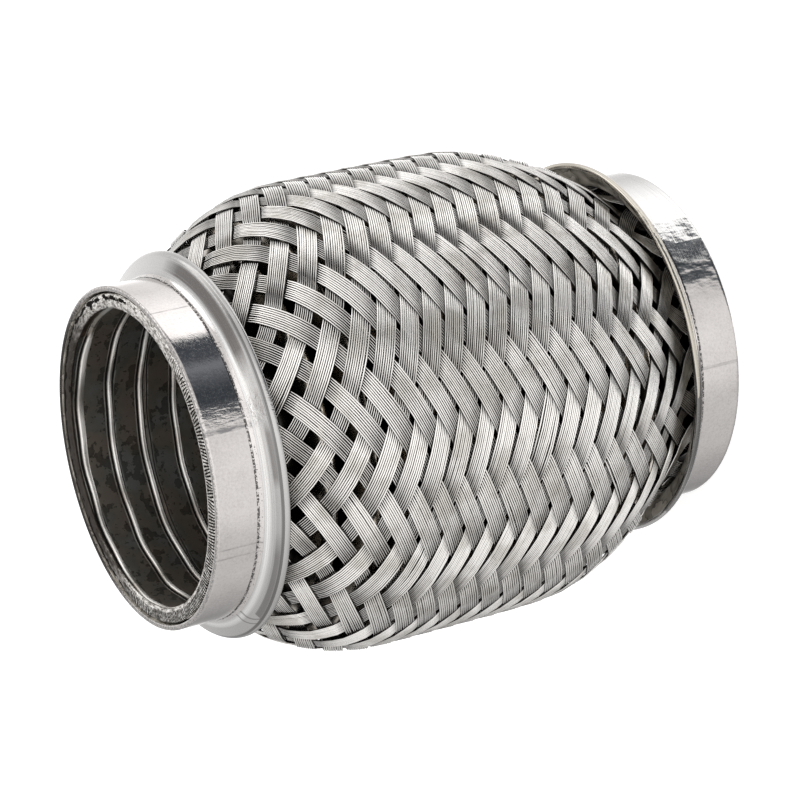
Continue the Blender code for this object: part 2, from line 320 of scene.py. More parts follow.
pressing = dict(flangeFrom=29.2, faceFrom=49.88, brownMost=0.85, brownShare=0.75, brown=(0.06, 0.05, 0.04, 1),
                foldedFoil=[(0.30, (0.50, 0.47, 0.41)), (0.455, (0.24, 0.22, 0.185)),
                            (0.468, (0.02, 0.018, 0.016)), (0.482, (0.42, 0.385, 0.33)),
                            (0.56, (0.30, 0.275, 0.235)), (0.572, (0.05, 0.045, 0.04)),
                            (0.584, (0.55, 0.51, 0.44)), (0.72, (0.40, 0.37, 0.32))],
                pits=(2.6, 3.0, 0.7), peel=(0.9, 3.0, 0.6),  # noises: scale, detail, roughness
                crease=(1.0, 4.0, 0.6), creaseRun=(1.1, 1.1, 0.30), dents=(1.0, 4.0, 0.45),
                dentRun=(0.15, 0.15, 0.08), foil=(1.0, 2.0, 0.6), foilRun=(0.16, 0.16, 0.30),
                rings=(1.0, 2.0), ringFine=4, nearCrumple=(-76, 6), farCrumple=(-53, 30), swing=57,
                scratch=(42.62, 0.30), scratchPits=0.46, dirt=(42.3, 0.60), dirtPits=0.62, dirtDepth=0.7,
                markFrom=0.28, markShare=0.85, rough=[(0.42, 0.05), (0.66, 0.17)], flangeRough=0.12,
                innerRough=0.25, innerDull=0.8,
                relief=dict(pits=(0.40, 0.02), peel=(0.5, 0.02), crease=(1.0, 0.35), swing=(1.0, 2.8),
                            dents=(1.0, 2.4), rings=(0.5, 0.06), foil=(1.0, 2.0)))  # strength, depth in mm


def polishedPressing():
    # bright pressed sheet: fine pitting, a crumpled stretch on either collar, a scratched corner where the
    # neck meets the flange, the near end face browned on one side, reflections swung round the far collar
    # and, inside (tone 1), a dull folded skin
    p = pressing
    shade = Shade(bpy.data.materials.new("polishedPressing"))
    place, azimuth, radius, away = roundPlace(shade)
    isFar = shade.node("ShaderNodeSeparateXYZ", None, {0: place}, 2).under(middle / mm)
    isFlange = radius.over(p["flangeFrom"])
    inside = attribute(shade, "tone")
    pits, peel = (shade.noise(place, *p[key]) for key in ("pits", "peel"))
    crease = shade.noise(shade.stretched(*p["creaseRun"]), *p["crease"])
    dents = shade.noise(shade.stretched(*p["dentRun"]), *p["dents"])
    foil = shade.noise(shade.stretched(*p["foilRun"]), *p["foil"])
    across = {0: radius * p["ringFine"], 1: away * p["ringFine"], 2: azimuth}
    rings = shade.noise(shade.node("ShaderNodeCombineXYZ", None, across), *p["rings"])
    browned = brownedSide(azimuth, pits, p["brownMost"]) * away.over(p["faceFrom"]) * (1 - isFar)
    neck = shade.mix(browned, neckSkin(shade, azimuth, away, isFar, pits, crease), p["brown"])
    colour = shade.mix(isFlange, neck, flangeSkin(shade, azimuth, radius, isFar, rings))
    colour = shade.mix(inside, colour, shade.ramp(foil, *p["foldedFoil"]))
    scratch = band(away, *p["scratch"]) * pits.over(p["scratchPits"])
    dirt = band(away, *p["dirt"]) * pits.over(p["dirtPits"]) * p["dirtDepth"]
    marks = scratch.atLeast(dirt).over(p["markFrom"]) * p["markShare"]
    rough = shade.ramp(pits, *p["rough"]) + isFlange * p["flangeRough"]
    nearCrumple = sector(azimuth, *p["nearCrumple"]) * (1 - isFar)
    farCrumple = sector(azimuth, *p["farCrumple"]).math("POWER", 2) * isFar
    forms = dict(pits=pits, peel=peel, crease=crease * nearCrumple,
                 swing=(azimuth + np.radians(p["swing"])).math("SINE") * isFar,
                 dents=dents * farCrumple, rings=rings * isFlange, foil=foil * inside)
    normal = None
    for key, form in forms.items():
        strength, depth = p["relief"][key]
        normal = shade.bump(form, strength, depth * mm, normal)
    return shade.metal(marks.atLeast(browned * p["brownShare"]), Base_Color=colour,
                       Roughness=rough + inside * p["innerRough"], Metallic=1 - inside * p["innerDull"],
                       Normal=normal)


wireLook = dict(smear=(0.17, 4.0),
                # bright turns the tone into colour, down to near black painted shade; gap paints black shade
                # where wires meet
                bright=[(0.05, (0.03, 0.028, 0.027)), (0.45, (0.30, 0.29, 0.28)),
                        (0.72, (0.78, 0.76, 0.735)), (1.0, (0.93, 0.91, 0.88))],
                dull=[(0.38, (0.76, 0.75, 0.73)), (0.54, (1.0, 1.0, 1.0))], rough=[(0.3, 0.17), (0.7, 0.28)],
                gap=[(0.06, 1.0), (0.46, 0.0)])


def drawnWire():
    # bright drawn wire with painted shade: darker the lower its tone, painted black where wires meet, with
    # dull smears
    w = wireLook
    shade = Shade(bpy.data.materials.new("drawnWire"))
    tone = attribute(shade, "tone")
    smear = shade.noise(shade.stretched(1, 1, 1), *w["smear"])
    colour = shade.multiplied(shade.ramp(tone, *w["bright"]), shade.ramp(smear, *w["dull"]))
    rough = shade.ramp(smear, *w["rough"])
    return shade.metal(shade.ramp(tone, *w["gap"]), Base_Color=colour, Roughness=rough)


sheetLook = dict(tints=[(0.3, (0.46, 0.42, 0.35)), (0.5, (0.60, 0.54, 0.46)), (0.7, (0.72, 0.69, 0.65))],
                 rootShade=[(0.25, 0.03), (0.85, 1.0)], lipFrom=48.9,
                 fused=[(0.38, (0.12, 0.11, 0.10)), (0.47, (0.46, 0.44, 0.41)), (0.60, (0.84, 0.815, 0.79))],
                 tint=(0.22, 4.0), grit=(1.6, 4.0, 0.75), aroundFine=12, fine=(2.4, 3.0, 0.7),
                 flakes=(1.1, 3.0, 0.6),
                 hatchSide=-115, hatchGain=2.5, hatchStart=0.9,  # the cuts lie round this azimuth
                 cutCount=300, cutMiddle=26.6, cutInner=25.7, leanCount=29, leanSwing=(11, 2), leanMost=3.2,
                 cutGrit=3, fewerCuts=(-30, 38), fewer=2.2, cutFrom=-0.1,
                 crumbs=(26.85, 0.8), crumbGain=0.26, crumbFrom=0.67,
                 brownMost=0.93, brownShare=0.72, brown=(0.10, 0.08, 0.065, 1), lipDepth=0.2,
                 rough=0.22, lipRough=0.2)


def foldedSheet():
    # thin rolled sheet with straw and olive heat tints, and painted shade that darkens it in the roots (tone
    # 0);
    # its two end lips are fused, pale and rough, with fine slanting cuts round most of them, painted black as
    # the shade inside them, and crumbs on the rest, and browned on one side
    s = sheetLook
    shade = Shade(bpy.data.materials.new("foldedSheet"))
    place, azimuth, radius, away = roundPlace(shade)
    around = shade.node("ShaderNodeCombineXYZ", None, {0: azimuth * s["aroundFine"], 1: radius, 2: away})
    tint, grit = (shade.noise(place, *s[key]) for key in ("tint", "grit"))
    fine, flakes = (shade.noise(around, *s[key]) for key in ("fine", "flakes"))
    lip = away.over(s["lipFrom"])
    rootShade = shade.ramp(attribute(shade, "tone"), *s["rootShade"])
    folds = shade.multiplied(shade.ramp(tint, *s["tints"]), rootShade)
    hatched = (azimuth - np.radians(s["hatchSide"])).math("COSINE") * s["hatchGain"] + s["hatchStart"]
    swingCount, swing = s["leanSwing"]
    lean = azimuth * s["leanCount"] + (azimuth * swingCount).math("SINE") * swing
    lean = lean.math("SINE") * s["leanMost"]
    cuts = (azimuth * s["cutCount"] + (radius - s["cutMiddle"]) * lean).math("SINE")
    cuts = cuts + (grit - 0.5) * s["cutGrit"] - sector(azimuth, *s["fewerCuts"]) * s["fewer"]
    cuts = cuts.over(s["cutFrom"]) * radius.over(s["cutInner"]) * hatched.over(0.5)
    crumbs = (band(radius, *s["crumbs"]) * s["crumbGain"] + flakes).over(s["crumbFrom"]) * hatched.under(0.5)
    browned = brownedSide(azimuth, flakes, s["brownMost"])
    # the cuts' black is painted shade; the crumbs and the browning are the lip's own colour
    hollow = cuts.atLeast(crumbs).atLeast(browned * s["brownShare"]) * lip
    fused = shade.mix(browned, shade.ramp(fine, *s["fused"]), s["brown"])
    colour = shade.mix(lip, folds, fused)
    normal = shade.bump(fine * lip, 1.0, s["lipDepth"] * mm)
    return shade.metal(hollow, Base_Color=colour, Roughness=lip * s["lipRough"] + s["rough"],
                       Normal=normal)


stripLook = dict(tints=[(0.36, (0.205, 0.208, 0.200)), (0.48, (0.180, 0.172, 0.152)),
                        (0.56, (0.205, 0.182, 0.155)), (0.66, (0.225, 0.190, 0.160))],
                 stains=[(0.30, 1.0), (0.60, 1.12), (0.632, 0.40), (0.66, 0.58)], edgeStainAndShade=0.30,
                 endFrom=48.2, endTo=37.5, endColour=(0.50, 0.36, 0.26, 1),
                 speckFrom=0.64, speckShare=0.6, speckColour=(0.02, 0.018, 0.016, 1),
                 blotch=(0.42, 4.0, 0.6), patch=(0.15, 2.0), speck=(1.5, 3.0, 0.6), relief=(0.25, 0.08),
                 # bright is the colour of the painted highlight on the rolled-over ridge; gap sets the black
                 # painted shadow beside it
                 bright=(0.94, 0.91, 0.875, 1), brightSheen=0.55, rough=[(0.2, 0.46), (0.9, 0.20)],
                 gap=[(0.55, 0.0), (0.8, 1.0)])


def stainedStrip():
    # dull greenish grey band, browner in places and on the last turn's end, with near black stains that
    # gather along its edges, where painted shade (tone below 0) darkens them too, and dark specks; a painted
    # highlight where the strip is rolled over (tone above 0), and black painted shadow in the gap beside it
    s = stripLook
    shade = Shade(bpy.data.materials.new("stainedStrip"))
    place, azimuth, _, away = roundPlace(shade)
    blotch, patch, speck = (shade.noise(place, *s[key]) for key in ("blotch", "patch", "speck"))
    tone = attribute(shade, "tone")
    # ridge is the painted highlight's share, shut the painted shade's, black in the gap
    ridge, shut = tone.atLeast(0), (0 - tone).atLeast(0)
    dark = shade.ramp(patch, *s["tints"])
    dark = shade.multiplied(dark, shade.ramp(blotch + shut * s["edgeStainAndShade"], *s["stains"]))
    ended = azimuth.over(0) * azimuth.under(np.radians(s["endTo"])) * away.over(s["endFrom"])
    dark = shade.multiplied(dark, shade.mix(ended, (1, 1, 1, 1), s["endColour"]))
    dark = shade.mix(speck.over(s["speckFrom"]) * s["speckShare"], dark, s["speckColour"])
    strength, depth = s["relief"]
    normal = shade.bump(blotch, strength, depth * mm)
    return shade.metal(shade.ramp(shut, *s["gap"]), Base_Color=shade.mix(ridge, dark, s["bright"]),
                       Roughness=shade.ramp(ridge, *s["rough"]), Metallic=1 - ridge * s["brightSheen"],
                       Normal=normal)


collar = dict(outerRadius=28.8, wall=0.9, neckLength=7.2, flangeRadius=32.6, slope=62.0, fillet=1.4,
              lipFillet=1.3, length=11.2, edge=0.16, edgeCut=0.3, arcSteps=12, around=300, outerStep=0.5,
              innerStep=0.8, wobble=0.01225, waves=(2, 3, 5, 9, 14, 23, 37), waveFall=0.8,
              waveTilt=0.3)


def arcPoints(centre, radius, start, end, steps):
    # points of a circular arc in (radius, height), angles in degrees
    angle = np.radians(np.linspace(start, end, steps + 1))
    return np.stack([centre[0] + radius * np.cos(angle), centre[1] + radius * np.sin(angle)], -1)


def offsetLine(line, wall):
    # each point moved by the wall to the right of the line's run, mitred where it turns
    run = np.diff(line, axis=0)
    run /= np.linalg.norm(run, axis=1)[:, None]
    normal = np.stack([run[:, 1], -run[:, 0]], -1)
    before = np.vstack([normal[:1], normal])
    after = np.vstack([normal, normal[-1:]])
    mitre = before + after
    mitre /= np.linalg.norm(mitre, axis=1)[:, None]
    return line + mitre * (wall / (mitre * after).sum(1))[:, None]


def refined(line, step):
    # extra points on long stretches, so that no stretch is longer than the step
    parts = []
    for first, second in zip(line[:-1], line[1:]):
        count = max(int(np.ceil(np.linalg.norm(second - first) / step)), 1)
        parts.append(first + (second - first) * np.arange(count)[:, None] / count)
    return np.vstack([*parts, line[-1:]])


def collarLoop():
    # outer outline from the lip down to the end face, and back up one wall inside, edges rounded;
    # with it, 1 for each point on the inside
    c = collar
    slope = np.radians(c["slope"])
    lipStart = c["neckLength"] + c["fillet"] * np.sin(slope)
    filletEnd = c["outerRadius"] + c["fillet"] * (1 - np.cos(slope))
    lipIn = c["flangeRadius"] - c["lipFillet"] * (1 - np.cos(slope))
    lipCentre = (c["flangeRadius"] - c["lipFillet"],
                 lipStart + (lipIn - filletEnd) / np.tan(slope) + c["lipFillet"] * np.sin(slope))
    outer = np.vstack([
        [(c["flangeRadius"], c["length"])],
        arcPoints(lipCentre, c["lipFillet"], 0, -c["slope"], c["arcSteps"]),
        arcPoints((c["outerRadius"] + c["fillet"], c["neckLength"]), c["fillet"],
                  180 - c["slope"], 180, c["arcSteps"]),
        [(c["outerRadius"], 0.0)],
    ])
    inner = offsetLine(outer, c["wall"])
    edge = c["edge"]
    outer = np.vstack([outer[:1] - (0, edge), outer[1:-1], outer[-1:] + (0, edge)])
    inner = np.vstack([inner[:1] - (0, edge), inner[1:-1], inner[-1:] + (0, edge)])
    cut = edge * c["edgeCut"]
    foot = [(c["outerRadius"] - cut, cut), (c["outerRadius"] - edge, 0),
            (c["outerRadius"] - c["wall"] + edge, 0), (c["outerRadius"] - c["wall"] + cut, cut)]
    lip = [(c["flangeRadius"] - c["wall"] + edge, c["length"]), (c["flangeRadius"] - edge, c["length"])]
    outer, inner = refined(outer, c["outerStep"]), refined(inner[::-1], c["innerStep"])
    within = np.concatenate([np.zeros(len(outer) + len(foot)), np.ones(len(inner)), np.zeros(len(lip))])
    return np.vstack([outer, foot, inner, lip]) * mm, within


def collarMesh(name, top):
    # the loop turned about Z; its radius carries a sum of shallow waves, so that its gloss breaks up
    c = collar
    loop, within = collarLoop()
    angle = np.arange(c["around"]) / c["around"] * pipe["turns"]
    radius, height = np.broadcast_arrays(loop[None, :, 0], loop[None, :, 1])
    turn = np.broadcast_to(angle[:, None], (len(angle), len(loop)))
    wave = sum(np.sin(turn * n + draw.uniform(0, pipe["phaseSpan"])
                      + height / mm * draw.uniform(-c["waveTilt"], c["waveTilt"])) / n**c["waveFall"]
               for n in c["waves"])
    radius = radius + wave * c["wobble"] * mm
    height = np.broadcast_to(height, radius.shape)
    if top:
        height = pipe["length"] - height
    points = np.stack([radius * np.cos(turn), radius * np.sin(turn), height], -1)
    return meshFrom(name, points, ringQuads(len(angle), len(loop), True), tone=np.tile(within, len(angle)))


braid = dict(ribbons=24, wires=9, wirePitch=0.362, wireRadius=0.158, sides=6, bellyRadius=39.37,
             bellyHalf=15.0, bellyAngle=68.3, shoulderRadius=28.6, shoulderSlope=37.5, throatRadius=5.0,
             neckRadius=27.125, rightPhase=14.30, leftPhase=2.81, rightTop=3.5, leftTop=1.5,
             lift=0.17, arch=0.20, archHalf=0.84, passage=0.17, between=0.42, farDip=1.1, farPlace=24.0,
             farSpread=9.5, inset=0.40, endGap=0.06, tip=0.012, tipThick=0.7, samples=4001,
             uneven=0.010, wander=0.040, wanderPeriod=7.0, bob=0.02, bobPeriod=6.0,
             strays=[0, 0.10, 0.22], strayReach=1.6, partings=[0, 0.09, 0.15], partReach=0.9)


def barrelRadius(height):
    # belly, shoulder arc, cone, throat arc and neck, by the distance from the middle, in metres; the
    # shoulder at the far end is a little fallen in
    b = braid
    slope = np.radians(b["shoulderSlope"])
    away = np.abs(height - middle) / mm
    arcEnd = b["bellyHalf"] + b["shoulderRadius"] * np.sin(slope)
    arcRadius = b["bellyRadius"] - b["shoulderRadius"] * (1 - np.cos(slope))
    throatTop = b["neckRadius"] + b["throatRadius"] * (1 - np.cos(slope))
    throatStart = arcEnd + (arcRadius - throatTop) / np.tan(slope)
    throatEnd = throatStart + b["throatRadius"] * np.sin(slope)
    onArc = np.sqrt(np.maximum(b["shoulderRadius"]**2 - (away - b["bellyHalf"])**2, 0))
    onThroat = np.sqrt(np.maximum(b["throatRadius"]**2 - (throatEnd - away)**2, 0))
    dip = b["farDip"] * np.exp(-((height / mm - b["farPlace"]) / b["farSpread"])**2)
    return mm * -dip + mm * np.select(
        [away < b["bellyHalf"], away < arcEnd, away < throatStart, away < throatEnd],
        [b["bellyRadius"], b["bellyRadius"] - b["shoulderRadius"] + onArc,
         arcRadius - (away - arcEnd) * np.tan(slope), b["neckRadius"] + b["throatRadius"] - onThroat],
        b["neckRadius"])


heights = np.linspace(0, pipe["length"], braid["samples"])
radii = barrelRadius(heights)
slopes = np.gradient(radii, heights)
braidPitch = pipe["turns"] / braid["ribbons"]
trellis = braid["bellyRadius"] * mm / np.sin(np.radians(braid["bellyAngle"]))
turnRate = np.hypot(1, slopes) / np.sqrt(trellis**2 - radii**2)
turnTable = np.concatenate([[0], np.cumsum((turnRate[1:] + turnRate[:-1]) / 2)]) * heights[1]
turnTable -= np.interp(middle, heights, turnTable)
phases = {"right": np.radians(braid["rightPhase"]), "left": np.radians(braid["leftPhase"])}


def latticeHeight(own, along, hand):
    # the height where a ribbon's number and the other set's number cross
    sign = 1 if hand == "right" else -1
    turn = (phases["left"] - phases["right"] + sign * (along - own) * braidPitch) / 2
    return np.interp(turn, turnTable, heights)


def latticeReach(height):
    # how far the left-hand number is ahead of the right-hand one at a height
    return (2 * np.interp(height, heights, turnTable) - phases["left"] + phases["right"]) / braidPitch


def wirePath(number, along, aside, hand):
    # points and outward normals of lines beside a ribbon's middle line, before they are lifted
    own = number + 0 * along * aside
    for _ in range(3):
        height = latticeHeight(own, along, hand)
        radius = np.interp(height, heights, radii)
        spacing = braidPitch * radius * np.sqrt(1 - (radius / trellis)**2)
        own = number + aside / spacing
    height = latticeHeight(own, along, hand)
    angle = (phases["left"] + phases["right"] + (own + along) * braidPitch) / 2
    radius = np.interp(height, heights, radii)
    slope = np.interp(height, heights, slopes)
    length = np.hypot(1, slope)
    normal = np.stack([np.cos(angle) / length, np.sin(angle) / length, -slope / length], -1)
    points = np.stack([radius * np.cos(angle), radius * np.sin(angle), height], -1)
    return points, normal


def wirePlaces(number, hand, aside):
    # the other set's numbers at which a ribbon's wires have points: their two ends, each with its tip, and
    # between them the flanks, bottoms and tops of every passage
    b = braid
    sign = 1 if hand == "right" else -1
    spacing = braidPitch * b["neckRadius"] * mm * np.sqrt(1 - (b["neckRadius"] * mm / trellis)**2)
    ends = [number + aside / spacing + sign * latticeReach(height * mm)
            for height in (b["inset"], pipe["length"] / mm - b["inset"])]
    low, high = np.minimum(*ends)[:, None], np.maximum(*ends)[:, None]
    start = b[hand + "Top"] - number
    steps = np.array([-1.0 - b["passage"], -1.0, -1.0 + b["passage"], -b["between"], 0.0, b["between"]])
    first = int(np.floor((low.min() - start) / 2)) - 1
    last = int(np.ceil((high.max() - start) / 2)) + 1
    inner = np.concatenate([start + 2 * k + steps for k in range(first, last + 1)])
    inner = inner[(inner > low.max() + b["endGap"]) & (inner < high.min() - b["endGap"])]
    inner = np.broadcast_to(inner, (len(aside), len(inner)))
    return np.concatenate([low, low + b["tip"], inner, high - b["tip"], high], 1)


def wireDrift(along, wires):
    # every wire wanders a little; one outer wire may stray on a stretch, and the wires may part on another
    b = braid
    drift = np.stack([softNoise(along, b["wanderPeriod"]) for _ in wires]) * b["wander"] * mm
    stray = draw.choice([0, len(wires) - 1])
    push = draw.choice(b["strays"]) * mm * np.sign(wires[stray])
    drift[stray] += push * np.exp(-((along - draw.uniform(along[0], along[-1])) / b["strayReach"])**2)
    parted = draw.choice(b["partings"]) * mm * np.where(np.arange(len(wires)) < draw.integers(2, 7), -1, 1)
    centre = draw.uniform(along[0], along[-1])
    return drift + parted[:, None] * np.exp(-((along - centre) / b["partReach"])**2)


# ring: the tone round each tube, bright on top and low on the sides, is painted shade where wires meet
wireTone = dict(ring=[1.0, 0.62, 0.10, 0.0, 0.10, 0.62], dive=(-0.9, 0.7), diveGain=3, diveShade=0.15,
                topFrom=(-38, -24), topTo=(30, 60), underFrom=(92, 112), underTo=(150, 175),
                calmFrom=(-0.3, 0.8), calm=0.45, calmNoise=0.25, calmPeriod=9.0, calmTop=0.35, calmUnder=0.22,
                calmMost=0.5, moreTop=0.25, moreUnder=0.1, fade=0.42, fadeFrom=(-0.2, 1.1), leftFade=0.32,
                leftPlace=-42, leftHalf=11, topPaintedShade=0.26, endTone=0.8, dullest=0.88)


def greyOf(signed, level, points, hand):
    # a tone for every side of every tube, which carries painted shade: low on the sides where wires meet,
    # and lower where a ribbon dives under the other set; those painted lines are fainter (calm) towards one
    # end of a float and on the upper and under sides of the pipe; the other end, at the smaller azimuth,
    # darkens with painted shade (fade), most of all on one stretch of the left-hand set, and the right-hand
    # set gets painted shade on the upper side
    w = wireTone
    isLeft = 1.0 if hand == "left" else 0.0
    signed = signed[..., None]
    below = (1 - smoothStep(level, *w["dive"]))[..., None]
    about = np.degrees(np.arctan2(points[..., 1], points[..., 0]))[..., None]
    topSide = (1 - isLeft) * smoothStep(about, *w["topFrom"]) * (1 - smoothStep(about, *w["topTo"]))
    underSide = smoothStep(-about, *w["underFrom"]) * (1 - smoothStep(-about, *w["underTo"]))
    calm = w["calm"] * smoothStep(signed, *w["calmFrom"])
    calm = calm + w["calmNoise"] * softNoise(signed, w["calmPeriod"])
    calm = calm + w["calmTop"] * topSide + w["calmUnder"] * underSide
    calm = (1 - below) * np.clip(calm, 0, w["calmMost"] + w["moreTop"] * topSide + w["moreUnder"] * underSide)
    fade = w["fade"] + w["leftFade"] * isLeft * np.exp(-((about - w["leftPlace"]) / w["leftHalf"])**2)
    tone = np.tile(w["ring"], (*level.shape, 1))
    tone = tone + (1 - tone) * calm
    tone = tone**(1 + w["diveGain"] * below) * (1 - w["diveShade"] * below)
    tone = tone * (1 - fade * (1 - below) * smoothStep(-signed, *w["fadeFrom"])**2)
    tone = tone * (1 - w["topPaintedShade"] * topSide * (1 - below))
    tone[:, [0, -1]] = w["endTone"]
    return tone * draw.uniform(w["dullest"], 1.0, len(level))[:, None, None]


def ribbonMesh(name, number, hand):
    # each wire is a six-sided tube along its line; it lies over two ribbons of the other set and
    # under the next two, by a flat-topped wave of the other set's number; its ends are narrower
    b = braid
    wires = np.arange(b["wires"]) - (b["wires"] - 1) / 2
    aside = (wires * b["wirePitch"] + draw.normal(0, b["uneven"], len(wires))) * mm
    along = wirePlaces(number, hand, aside)
    points, normal = wirePath(number, along, aside[:, None] + wireDrift(along[0], wires), hand)
    signed = (along + number - b[hand + "Top"] + 2) % 4 - 2
    away = np.abs(signed)
    level = 1 - 2 * smoothStep(away, 1 - b["passage"], 1 + b["passage"])
    crown = np.cos(np.clip(np.minimum(away, 2 - away) / b["archHalf"], 0, 1) * np.pi / 2)**2
    bob = np.stack([softNoise(along[0], b["bobPeriod"]) for _ in wires]) * b["bob"]
    lift = (level * (b["lift"] + b["arch"] * crown) + bob) * mm
    points = points + normal * lift[..., None]
    run = np.gradient(points, axis=1)
    run /= np.linalg.norm(run, axis=-1)[..., None]
    side = np.cross(run, normal)
    side /= np.linalg.norm(side, axis=-1)[..., None]
    up = np.cross(side, run)
    angle = np.arange(b["sides"]) / b["sides"] * pipe["turns"]
    ring = up[..., None, :] * np.cos(angle)[:, None] + side[..., None, :] * np.sin(angle)[:, None]
    thick = np.full(along.shape[1], b["wireRadius"] * mm)
    thick[[0, -1]] *= b["tipThick"]
    shell = points[..., None, :] + ring * thick[:, None, None]
    each = shell.shape[1] * b["sides"]
    quads = np.concatenate([ringQuads(shell.shape[1], b["sides"], first=k * each) for k in range(len(wires))])
    caps = []
    for k in range(len(wires)):
        caps.append(np.arange(b["sides"])[::-1] + k * each)
        caps.append(np.arange(b["sides"]) + (k + 1) * each - b["sides"])
    tone = greyOf(signed, level, points, hand)
    return meshFrom(name, shell, quads, caps, tone=tone)


bellows = dict(wall=0.3, foldPitch=6.2, folds=11, rootRadius=27.95, cuffRadius=26.35, crestDrop=1.45,
               leastFold=0.3, crestPower=0.8, cuffStart=0.75, cuffNext=4.0, cuffEnd=(1.9, 1.3),
               neckIn=0.35, neckEnd=0.4, perFold=10, around=200, lipDepth=0.50, lipWave=0.05,
               lipWaves=(7, 11, 17, 29, 41),
               lip=[(27.55, 0.55), (27.50, 0.28), (27.30, 0.17), (26.60, 0.13), (25.75, 0.12), (25.38, 0.17),
                    (25.15, 0.33), (25.10, 0.55), (25.30, 0.80), (25.85, 0.92)])


def crestRadius(height):
    # how far out a fold reaches at a height, in millimetres: a little way inside the braid
    crest = np.interp(height, heights / mm, radii / mm) - bellows["crestDrop"]
    return np.maximum(crest, bellows["rootRadius"] + bellows["leastFold"])


def bellowsMesh(name):
    # crests and roots joined by raised cosines, between plain cuffs, turned about Z with one wall inside;
    # the last half millimetre of either cuff is rolled inwards as a rounded lip with shallow waves
    b = bellows
    top = 2 * middle / mm
    bottom = middle / mm - b["folds"] * b["foldPitch"] / 2
    place = np.arange(b["folds"] * b["perFold"] + 1) / b["perFold"]
    height = bottom + place * b["foldPitch"]
    within = np.floor(np.clip(place, 0, b["folds"] - 0.01)) + 0.5  # the middle of the fold it is in
    share = (0.5 - 0.5 * np.cos(place * 2 * np.pi))**b["crestPower"]
    radius = b["rootRadius"] + (crestRadius(bottom + within * b["foldPitch"]) - b["rootRadius"]) * share
    low = [(b["cuffRadius"], b["cuffStart"]), (b["cuffRadius"], b["cuffNext"])]
    low += [(b["cuffRadius"], bottom - before) for before in b["cuffEnd"]]
    low += [(b["rootRadius"] - b["neckIn"], bottom - b["neckEnd"])]
    high = [(r, top - h) for r, h in low[::-1]]
    line = np.vstack([low, np.stack([radius, height], -1), high])
    inner = offsetLine(line[::-1], b["wall"])
    lip = np.array(b["lip"])
    far = lip[::-1] * (1, -1) + (0, top)
    loop = np.vstack([line[::-1], lip, inner[::-1], far]) * mm
    turn = (np.arange(b["around"]) / b["around"] * pipe["turns"])[:, None]
    waves = sum(np.sin(turn * n + draw.uniform(0, pipe["phaseSpan"])) for n in b["lipWaves"])
    waves = waves / len(b["lipWaves"])
    isLip = (np.abs(loop[:, 1] - middle) > middle - b["lipDepth"] * mm)[None, :]
    rise = waves * isLip * b["lipWave"] * mm * np.sign(middle - loop[None, :, 1])
    points = np.stack([loop[None, :, 0] * np.cos(turn), loop[None, :, 0] * np.sin(turn),
                       np.broadcast_to(loop[None, :, 1] + rise, (len(turn), len(loop)))], -1)
    reach, up = loop.T / mm
    # the tone, 0 at the roots and 1 at the crests, sets how much painted shade darkens the roots
    tone = np.clip((reach - b["rootRadius"]) / (crestRadius(up) - b["rootRadius"]), 0, 1)
    return meshFrom(name, points, ringQuads(len(turn), len(loop), True), tone=np.tile(tone, len(turn)))


liner = dict(pitch=5.8, startAngle=60.0, perTurn=84, squeeze=0.15, inset=0.40, lead=0.5,
             sway=0.32, swayPeriod=0.9, lumps=0.30, lumpPeriod=0.09, drawn=0.8, drawnReach=8,
             set=0.55, deepSet=0.5, deepStart=82.0, deepEnd=86.0, lastFrom=93.5,
             hemFrom=37.5, hemTo=39.5, narrowFrom=75, narrowTo=125, hemInner=0.20, hemOuter=0.20,
             hemInnerTo=0.15, hemOuterFrom=0.45, hemOuterTo=2.5, plainFrom=0.15, plainTo=1.0, plainTone=0.08,
             glint=0.78, glintSwing=1.0, glintPeriod=0.07, glintLeast=0.25,
             # the section's tone: above 0 a painted highlight where the strip is rolled over, below 0 painted
             # shade, black in the gap
             section=[(-0.30, 25.50, -0.9), (-0.08, 25.42, -0.6), (0.00, 25.24, 0), (0.10, 25.08, 0.75),
                      (0.28, 25.00, 1), (0.50, 24.99, 1), (0.66, 25.05, 0.85), (0.80, 25.18, 0.2),
                      (0.88, 25.36, -1), (0.99, 25.46, -1), (1.12, 25.47, -1), (1.20, 25.41, -1),
                      (1.28, 25.34, 0.5), (1.38, 25.30, 0.6), (1.48, 25.34, 0), (1.62, 25.31, -0.5),
                      (1.86, 25.31, -0.42), (2.8, 25.31, -0.18), (3.6, 25.30, 0), (4.6, 25.31, -0.08),
                      (5.2, 25.31, -0.30), (5.36, 25.32, -0.5), (5.50, 25.38, -0.8), (5.60, 25.50, -1),
                      (5.8, 25.57, 0), (6.9, 25.60, 0), (7.0, 25.66, 0), (7.0, 25.80, 0), (5.7, 25.78, 0),
                      (5.4, 25.56, 0), (2.0, 25.53, 0), (1.5, 25.62, 0), (1.0, 25.56, 0), (0.2, 25.51, 0),
                      (-0.22, 25.54, 0)])  # height, radius, tone


def squeezed(height, low, high, soft):
    # heights past either end are drawn in asymptotically, so that the strip is cut level there
    over = np.maximum(height - (high - soft), 0) / soft
    under = np.maximum(low + soft - height, 0) / soft
    height = np.where(over > 0, high - soft / (1 + over), height)
    return np.where(under > 0, low + soft / (1 + under), height)


